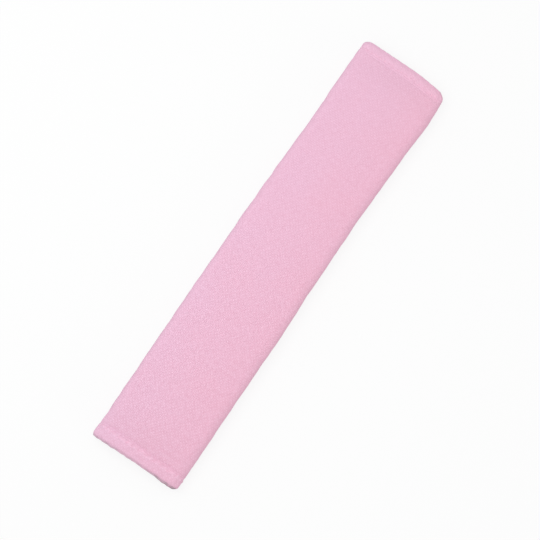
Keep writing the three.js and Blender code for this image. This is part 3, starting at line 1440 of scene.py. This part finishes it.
@dataclass(frozen=True)
class KnitCloth:
    """Thin knitted lining, with fine ribs along the belt."""

    name: str = "knit_lining"
    high: tuple[float, float, float, float] = srgb(240, 205, 220)
    low: tuple[float, float, float, float] = srgb(216, 172, 192)
    rib: float = 0.8 * MM
    course: float = 0.6 * MM
    swing: float = 0.18 * MM
    fuzz_scale: float = 2400.0
    fuzz_share: float = 0.5
    rib_tone: float = 0.6
    gloss: Gloss = Gloss(roughness=0.95, specular=0.15, bump=0.6, relief=0.1 * MM)

    def build(self) -> bpy.types.Material:
        """Knits the loops: ribs whose slant swings to and fro along each of them.

        Returns:
            The material.
        """
        canvas = Canvas(self.name)
        across, along, _ = canvas.cloth_place()
        swing = (along * (2 * math.pi / self.course)).sin() * self.swing
        rib = ((across + swing) * (math.pi / self.rib)).sin().abs()
        fuzz = canvas.noise(canvas.vector(across, along), self.fuzz_scale, 2.0)
        fuzz = fuzz * self.fuzz_share
        tone = (rib * self.rib_tone + fuzz).clamped(0.0, 1.0)
        colour = canvas.mix(tone, self.low, self.high)
        return canvas.finish(colour, rib + fuzz, self.gloss)


@dataclass(frozen=True)
class FoamSheet:
    """Open-cell foam: pale, with fine round pores."""

    name: str = "foam_sheet"
    high: tuple[float, float, float, float] = srgb(240, 236, 224)
    low: tuple[float, float, float, float] = srgb(206, 200, 184)
    pore_scale: float = 1500.0
    pore_tone: float = 0.9
    mottle_scale: float = 220.0
    mottle_tone: float = 0.4
    gloss: Gloss = Gloss(roughness=1.0, specular=0.1, bump=0.5, relief=0.2 * MM)

    def build(self) -> bpy.types.Material:
        """Sets the pores: cells of uneven size, darker towards their middles.

        Returns:
            The material.
        """
        canvas = Canvas(self.name)
        place = canvas.node("ShaderNodeTexCoord").outputs["Object"]
        cells = canvas.node("ShaderNodeTexVoronoi", Vector=place, Scale=self.pore_scale)
        pore = canvas.field(cells.outputs["Distance"])
        mottle = canvas.noise(place, self.mottle_scale, 2.0)
        tone = (pore * self.pore_tone + mottle * self.mottle_tone).clamped(0.0, 1.0)
        return canvas.finish(canvas.mix(tone, self.low, self.high), pore, self.gloss)


@dataclass(frozen=True)
class TapeCloth:
    """Narrow woven tape whose face carries hooks or brushed loops."""

    name: str
    high: tuple[float, float, float, float]
    low: tuple[float, float, float, float]
    spacing: float
    tangle: float
    gloss: Gloss
    fibre_scale: float = 1800.0

    def build(self) -> bpy.types.Material:
        """Sets the face: rows of small knobs, blurred by as much tangle as the pile has.

        Returns:
            The material.
        """
        canvas = Canvas(self.name)
        across, along, _ = canvas.cloth_place()
        turn = math.pi / self.spacing
        knobs = ((across * turn).sin() * (along * turn).sin()).abs()
        fibres = canvas.noise(canvas.vector(across, along), self.fibre_scale, 3.0)
        face = knobs * (1 - self.tangle) + fibres * self.tangle
        colour = canvas.mix(face.clamped(0.0, 1.0), self.low, self.high)
        return canvas.finish(colour, face, self.gloss)


@dataclass(frozen=True)
class SewingThread:
    """Twisted polyester thread, in the cloth's own colour."""

    name: str = "sewing_thread"
    high: tuple[float, float, float, float] = srgb(248, 206, 225)
    low: tuple[float, float, float, float] = srgb(238, 188, 209)
    twist: float = 0.35 * MM
    gloss: Gloss = Gloss(roughness=0.6, specular=0.35, bump=0.5, relief=0.05 * MM)

    def build(self) -> bpy.types.Material:
        """Lays the plies: a slanting stripe of along and round the thread.

        Returns:
            The material.
        """
        canvas = Canvas(self.name)
        round_it, along, _ = canvas.cloth_place()
        ply = ((along + round_it) * (math.pi / self.twist)).sin().abs()
        return canvas.finish(canvas.mix(ply, self.low, self.high), ply, self.gloss)


def dress(piece: bpy.types.Object, material: bpy.types.Material) -> bpy.types.Object:
    """Gives a piece its material and slot and lets it ride on the pad's body.

    Args:
        piece: The piece.
        material: Its material.

    Returns:
        The piece.
    """
    piece.data.materials.append(material)
    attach(piece, BODY)
    LOG.info("%s: %d faces", piece.name, len(piece.data.polygons))
    return piece


@dataclass
class OuterCover:
    """The woven cover: one sheet, turned over its four edges and hemmed at both ends."""

    form: PadForm
    grid: PanelGrid
    finish: WovenCloth = WovenCloth()
    wall_steps: int = 3

    def depths(self) -> list[Depth]:
        """The levels: even steps each through the cloth, the filling and the turned-in cloth.

        Returns:
            The depth of each level, as a function of x and the across value.
        """
        form = self.form

        def lip_outside(x: np.ndarray, q: np.ndarray) -> np.ndarray:
            """Outside of the turned-in cloth, and beyond it halfway through the wall."""
            wall, hemmed = form.wall(x, q), form.in_hem(x)
            return hemmed * (wall - form.cover) + (1 - hemmed) * (form.cover + wall) / 2

        marks = [lambda x, q: 0 * x, lambda x, q: 0 * x + form.cover, lip_outside, form.wall]
        levels: list[Depth] = [marks[0]]
        for low, high in zip(marks, marks[1:]):
            for step in range(1, self.wall_steps + 1):
                share = step / self.wall_steps
                levels.append(
                    lambda x, q, low=low, high=high, share=share:
                    low(x, q) * (1 - share) + high(x, q) * share
                )
        return levels

    def build(self) -> bpy.types.Object:
        """Returns:
            The piece.
        """
        form = self.form
        piece = WrappedPiece(form, self.grid, "woven_cover")
        depths = self.depths()
        x, q, level = piece.cells(len(depths) - 1)
        from_end, hem = form.end_distance(x)
        cloth = form.across(q)
        far_side = form.panel - cloth
        face = level < self.wall_steps
        edge = (from_end < form.cover) | (cloth < form.cover) | (far_side < form.cover)
        lip = (level >= 2 * self.wall_steps) & (from_end < hem + form.hem_past_seam)
        made = piece.build(depths, face | edge | lip)
        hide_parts("outer_cover")
        dress(made, self.finish.build())
        width = form.panel + 2 * form.flap_stack
        turned = form.lower_hem + form.upper_hem + 2 * (form.hem_past_seam + form.hem_stack)
        form.length + turned
        return made


@dataclass
class InnerLining:
    """The knitted lining, tucked under the cover's hems."""

    form: PadForm
    grid: PanelGrid
    finish: KnitCloth = KnitCloth()

    def build(self) -> bpy.types.Object:
        """Returns:
            The piece.
        """
        form = self.form

        def inside(x: np.ndarray, q: np.ndarray) -> np.ndarray:
            """The lining's channel side, which the hems' turned-in cloth covers."""
            return form.wall(x, q) - form.in_hem(x) * (form.cover + form.gap)

        piece = WrappedPiece(form, self.grid, "knit_lining")
        x, q, _ = piece.cells(1)
        from_end, _ = form.end_distance(x)
        cloth = form.across(q)
        far_side = form.panel - cloth
        inset = form.cover + form.gap
        filled = (from_end > inset) & (cloth > inset) & (far_side > inset)
        made = piece.build([lambda x, q: inside(x, q) - form.lining, inside], filled)
        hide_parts("inner_lining")
        dress(made, self.finish.build())
        width = form.panel - 2 * inset
        return made


@dataclass
class FoamPadding:
    """The foam between the cloths, skived thin along its four edges."""

    form: PadForm
    grid: PanelGrid
    finish: FoamSheet = FoamSheet()

    def build(self) -> bpy.types.Object:
        """Returns:
            The piece.
        """
        form = self.form
        outside = form.cover + form.gap
        piece = WrappedPiece(form, self.grid, "foam_sheet")
        x, q, _ = piece.cells(1)
        from_end, hem = form.end_distance(x)
        within = from_end > hem + form.hem_past_seam + form.foam_past_hem
        into = np.minimum(q - Leg.NEAR_FOLD.value, Leg.RUN.value - q)
        made = piece.build(
            [lambda x, q: 0 * x + outside, lambda x, q: outside + form.foam_thickness(x, q)],
            within & (into > form.tuck),
        )
        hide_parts("foam_padding")
        dress(made, self.finish.build())
        return made


@dataclass
class FlapTapes:
    """The hook tape on the outer flap and the loop tape on the inner one."""

    form: PadForm
    grid: PanelGrid
    hook: TapeCloth = TapeCloth(
        name="hook_tape_face",
        high=srgb(240, 196, 214),
        low=srgb(206, 150, 176),
        spacing=1.1 * MM,
        tangle=0.25,
        gloss=Gloss(roughness=0.55, specular=0.25, bump=0.8, relief=0.25 * MM),
    )
    loop: TapeCloth = TapeCloth(
        name="loop_tape_face",
        high=srgb(238, 190, 210),
        low=srgb(208, 152, 178),
        spacing=1.4 * MM,
        tangle=0.85,
        gloss=Gloss(roughness=0.95, specular=0.25, bump=0.8, relief=0.25 * MM),
    )

    def _strip(self, name: str, low: float, high: float, flap: Leg) -> bpy.types.Object:
        """Makes one tape: the cells between a flap's tape edges, from hem to hem.

        Args:
            name: Name of the piece.
            low: Depth of its outer face.
            high: Depth of its inner face.
            flap: The flap that it is sewn to.

        Returns:
            The piece.
        """
        form = self.form
        piece = WrappedPiece(form, self.grid, name)
        x, q, _ = piece.cells(1)
        from_end, hem = form.end_distance(x)
        within = from_end > hem + form.hem_past_seam + form.foam_past_hem
        margin = form.tape_margin / form.flap
        on_tape = (q > flap.value + margin) & (q < flap.value + 1 - margin)
        return piece.build([lambda x, q: 0 * x + low, lambda x, q: 0 * x + high], within & on_tape)

    def build(self) -> list[bpy.types.Object]:
        """Makes both tapes and gives each its material.

        Returns:
            The pieces, hook tape first.
        """
        form = self.form
        above = form.flap_stack + form.gap
        hooks = self._strip("hook_strip", above, above + form.tape, Leg.OUTER_FLAP)
        loops = self._strip("loop_strip", -form.gap - form.tape, -form.gap, Leg.INNER_FLAP)
        for made, node, finish, slot in (
            (hooks, "hook_tape", self.hook, "hook_nylon"),
            (loops, "loop_tape", self.loop, "loop_pile"),
        ):
            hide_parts(node)
            dress(made, finish.build())
        return [hooks, loops]


@dataclass
class StitchRow:
    """A row of lockstitches: short arched lengths of thread between needle holes.

    The radius is the thread's.
    """

    form: PadForm
    radius: float = 0.25 * MM
    arch: float = 0.14 * MM
    channel_arch: float = 0.1 * MM
    arch_power: float = 0.6
    sink: float = 0.55 * MM
    margin: float = 0.1
    look_ahead: float = 0.1 * MM
    rings: int = 9
    sides: int = 7

    def build(
        self,
        name: str,
        x: np.ndarray,
        q: np.ndarray,
        side: Edge,
        material: bpy.types.Material,
    ) -> bpy.types.Object:
        """Sews a row along needle holes.

        Each stitch's centreline runs straight from hole to hole over the cloth and rises as
        a root of a sine. Its section is a circle round that line, closed at both ends.

        Args:
            name: Name of the piece.
            x: Place along the pad of each hole.
            q: Across value of each hole.
            side: Whether the row shows on the outside or in the belt channel.
            material: The thread.

        Returns:
            The piece.
        """
        t = np.linspace(self.margin, 1 - self.margin, self.rings)
        along_x = x[:-1, None] * (1 - t) + x[1:, None] * t
        along_q = q[:-1, None] * (1 - t) + q[1:, None] * t
        arch = self.arch if side is Edge.OUTSIDE else self.channel_arch
        rise = (self.sink + arch) * np.sin(math.pi * t) ** self.arch_power - self.sink
        rise = np.broadcast_to(rise, along_x.shape)
        if side is Edge.OUTSIDE:
            surface, outward = 0 * along_x, -1.0
        else:
            surface, outward = self.form.wall(along_x, along_q), 1.0
        flat = (along_x.ravel(), along_q.ravel())
        line = self.form.wrap(*flat, (surface + outward * rise).ravel())
        higher = surface + outward * (rise + self.look_ahead)
        above = self.form.wrap(*flat, higher.ravel())
        line, above = line.reshape(*along_x.shape, 3), above.reshape(*along_x.shape, 3)
        up = above - line
        up = up / np.linalg.norm(up, axis=-1, keepdims=True)
        run = np.gradient(line, axis=1)
        run = run / np.linalg.norm(run, axis=-1, keepdims=True)
        across = np.cross(run, up)
        across = across / np.linalg.norm(across, axis=-1, keepdims=True)
        up = np.cross(across, run)
        turn = np.linspace(0, 2 * math.pi, self.sides, endpoint=False)
        ring = (
            across[:, :, None] * np.cos(turn)[:, None] + up[:, :, None] * np.sin(turn)[:, None]
        )
        points = line[:, :, None] + self.radius * ring
        made = new_object(name, points.reshape(-1, 3), self._faces(len(x) - 1), sharp_deg=70)
        length = (np.arange(len(x) - 1)[:, None, None] + t[:, None]) * self.form.stitch
        spread = np.broadcast_to(turn * self.radius, points.shape[:3])
        length = np.broadcast_to(length, points.shape[:3])
        set_cloth(made, np.stack([spread, length, 0 * length], axis=-1).reshape(-1, 3))
        return dress(made, material)

    def _faces(self, stitches: int) -> list[list[int]]:
        """Joins the rings of every stitch and caps both ends of each.

        Args:
            stitches: How many stitches there are.

        Returns:
            Corner indices of the side quads and of the caps.
        """
        index = np.arange(stitches * self.rings * self.sides)
        index = index.reshape(stitches, self.rings, self.sides)
        ahead = np.roll(index, -1, axis=2)
        quads = np.stack([index[:, :-1], ahead[:, :-1], ahead[:, 1:], index[:, 1:]], axis=-1)
        caps = index[:, 0, ::-1].tolist() + index[:, -1].tolist()
        return quads.reshape(-1, 4).tolist() + caps


@dataclass
class Stitching:
    """Every seam of the pad: one across each hem and two along each tape."""

    form: PadForm
    finish: SewingThread = SewingThread()
    tape_inset: float = 1.4 * MM
    first_hole: float = 1.2 * MM
    past_padding: float = 1.0 * MM

    def _holes_across(self) -> np.ndarray:
        """Places the holes of a hem seam, about one stitch apart on the cloth.

        Returns:
            Their across values.
        """
        first = self.first_hole
        total = self.form.panel
        count = round((total - 2 * first) / self.form.stitch)
        return self.form.across_value(np.linspace(first, total - first, count + 1))

    def _holes_along(self) -> np.ndarray:
        """Places the holes of a tape seam, from hem to hem.

        Returns:
            Their places along the pad.
        """
        form = self.form
        past = form.hem_past_seam + form.foam_past_hem + self.past_padding
        low = -form.length / 2 + form.lower_hem + past
        high = form.length / 2 - form.upper_hem - past
        return np.linspace(low, high, round((high - low) / form.stitch) + 1)

    def build(self) -> list[bpy.types.Object]:
        """Sews all seams.

        Returns:
            The pieces, one for each row of stitches that shows.
        """
        form, row, thread = self.form, StitchRow(self.form), self.finish.build()
        made = []
        q = self._holes_across()
        hems = {
            "lower": -form.length / 2 + form.lower_hem - form.seam_inset,
            "upper": form.length / 2 - form.upper_hem + form.seam_inset,
        }
        for end, x in hems.items():
            for side in Edge:
                name = f"{end}_hem_seam_{side.name.lower()}"
                made.append(row.build(name, np.full_like(q, x), q, side, thread))
        x = self._holes_along()
        inset = (form.tape_margin + self.tape_inset) / form.flap
        seams = {"edge": inset, "inner": 1 - inset}
        for name, share in seams.items():
            outer = np.full_like(x, Leg.OUTER_FLAP.value + 1 - share)
            inner = np.full_like(x, Leg.INNER_FLAP.value + share)
            made.append(row.build(f"hook_seam_{name}", x, outer, Edge.OUTSIDE, thread))
            made.append(row.build(f"loop_seam_{name}", x, inner, Edge.CHANNEL, thread))
        return made


@dataclass(frozen=True)
class Lamp:
    """A square soft lamp, whose direction is by the photograph's right and up and by height.

    Distance and size are in metres and power is in watts.
    """

    name: str
    right: float
    up: float
    height: float
    distance: float
    size: float
    power: float
    colour: tuple[float, float, float] = (1.0, 1.0, 1.0)


@dataclass
class Studio:
    """Plain pale floor, three soft lamps and the camera, set to the photograph's frame.

    The key stands at the photograph's upper left. The window and the fill graze the pad's
    two long edges.
    """

    form: PadForm
    image: int = 540
    pixels_per_mm: float = 1.664
    pad_angle_deg: float = 55.455
    pad_centre: tuple[float, float] = (268.45, 265.3)
    aim_shift: tuple[float, float] = (-2.53 * MM, 0.0)
    elevation_deg: float = 85.0
    distance: float = 1.0
    sensor_mm: float = 36.0
    clip: tuple[float, float] = (0.01, 30)
    floor_z: float = -0.5 * MM
    floor_half: float = 3.0
    floor_grey: float = 0.55
    floor_glow: float = 1.125
    floor_glow_share: float = 0.76
    world_light: float = 0.535
    world_seen: float = 0.98
    lamps: tuple[Lamp, ...] = (
        Lamp("key", -0.33, 0.2, 1.1, 0.75, 0.525, 2.58),
        Lamp("window", -0.82, 0.57, 0.35, 1.4, 0.9, 2.8, (0.85, 1.0, 1.0)),
        Lamp("fill", 0.82, -0.57, 0.14, 1.4, 0.9, 7.3, (0.97, 1.0, 1.0)),
    )

    def _axes(self) -> tuple[Vector, Vector]:
        """Turns the photograph's own directions onto the floor.

        Returns:
            Its right and its up.
        """
        angle = math.radians(self.pad_angle_deg)
        right = Vector((math.cos(angle), -math.sin(angle), 0))
        up = Vector((math.sin(angle), math.cos(angle), 0))
        return right, up

    def camera(self) -> None:
        """Looks down on the pad from just below the photograph's middle."""
        right, up = self._axes()
        tilt = math.radians(self.elevation_deg)
        back = Vector((0, 0, 1)) * math.sin(tilt) - up * math.cos(tilt)
        top = up * math.sin(tilt) + Vector((0, 0, 1)) * math.cos(tilt)
        across = (self.image / 2 - self.pad_centre[0]) / self.pixels_per_mm * MM
        down = (self.image / 2 - self.pad_centre[1]) / self.pixels_per_mm * MM
        aim = Vector((*self.aim_shift, self.form.ceiling)) + right * across - top * down
        data = bpy.data.cameras.new("camera")
        data.sensor_width = self.sensor_mm
        data.lens = self.sensor_mm * self.distance * self.pixels_per_mm / (self.image * MM)
        data.clip_start, data.clip_end = self.clip
        made = bpy.data.objects.new("camera", data)
        turn = Matrix((right, top, back)).transposed().to_4x4()
        made.matrix_world = Matrix.Translation(aim + back * self.distance) @ turn
        bpy.context.scene.collection.objects.link(made)
        bpy.context.scene.camera = made

    def lamp(self, lamp: Lamp) -> None:
        """Adds a lamp that looks at the pad.

        Args:
            lamp: Its place, size, power and colour.
        """
        right, up = self._axes()
        direction = (up * lamp.up + right * lamp.right + Vector((0, 0, lamp.height))).normalized()
        data = bpy.data.lights.new(lamp.name, "AREA")
        data.size, data.energy, data.color = lamp.size, lamp.power, lamp.colour
        made = bpy.data.objects.new(lamp.name, data)
        made.location = direction * lamp.distance
        made.rotation_euler = direction.to_track_quat("Z", "Y").to_euler()
        bpy.context.scene.collection.objects.link(made)

    def world(self) -> None:
        """An even white world, at one strength as light and at another to the camera."""
        world = bpy.data.worlds.new("studio")
        bpy.context.scene.world = world
        world.use_nodes = True
        tree = world.node_tree
        tree.nodes.clear()
        even = tree.nodes.new("ShaderNodeBackground")
        even.inputs["Color"].default_value = (1, 1, 1, 1)
        even.inputs["Strength"].default_value = self.world_light
        seen = tree.nodes.new("ShaderNodeBackground")
        seen.inputs["Color"].default_value = (*[self.world_seen] * 3, 1)
        path = tree.nodes.new("ShaderNodeLightPath")
        mix = tree.nodes.new("ShaderNodeMixShader")
        out = tree.nodes.new("ShaderNodeOutputWorld")
        tree.links.new(path.outputs["Is Camera Ray"], mix.inputs[0])
        tree.links.new(even.outputs[0], mix.inputs[1])
        tree.links.new(seen.outputs[0], mix.inputs[2])
        tree.links.new(mix.outputs[0], out.inputs[0])

    def floor(self) -> None:
        """A wide pale floor. To the camera it is mostly plain white, with a soft shadow."""
        half = self.floor_half
        corners = np.array([(-half, -half), (half, -half), (half, half), (-half, half)])
        points = np.column_stack([corners, np.full(4, self.floor_z)])
        made = new_object("floor", points, [(0, 1, 2, 3)], sharp_deg=180)
        canvas = Canvas("pale_floor")
        lit = canvas.node("ShaderNodeBsdfDiffuse", Color=(*[self.floor_grey] * 3, 1.0))
        white = (1.0, 1.0, 1.0, 1.0)
        plain = canvas.node("ShaderNodeEmission", Color=white, Strength=self.floor_glow)
        seen = canvas.field(canvas.node("ShaderNodeLightPath").outputs["Is Camera Ray"])
        mix = canvas.node("ShaderNodeMixShader", Fac=seen * self.floor_glow_share)
        canvas.tree.links.new(lit.outputs[0], mix.inputs[1])
        canvas.tree.links.new(plain.outputs[0], mix.inputs[2])
        canvas.tree.links.new(mix.outputs[0], canvas.output.inputs["Surface"])
        made.data.materials.append(canvas.material)

    def build(self) -> None:
        """Sets up the camera, the lamps, the world, the floor and the plain view transform."""
        self.camera()
        for lamp in self.lamps:
            self.lamp(lamp)
        self.world()
        self.floor()
        bpy.context.scene.view_settings.view_transform = "Standard"


def main() -> None:
    """Builds the pad's pieces from the outside in, then its seams and the studio."""
    logging.basicConfig(level=logging.INFO, format="%(name)s: %(message)s")
    form = PadForm.from_frame()
    form.swelling = Swelling(form).run()
    fine, coarse = PanelGrid(form), PanelGrid(form, fineness=0.5)
    OuterCover(form, fine).build()
    InnerLining(form, coarse).build()
    FoamPadding(form, coarse).build()
    FlapTapes(form, coarse).build()
    Stitching(form).build()
    Studio(form).build()


if __name__ == "__main__":
    main()
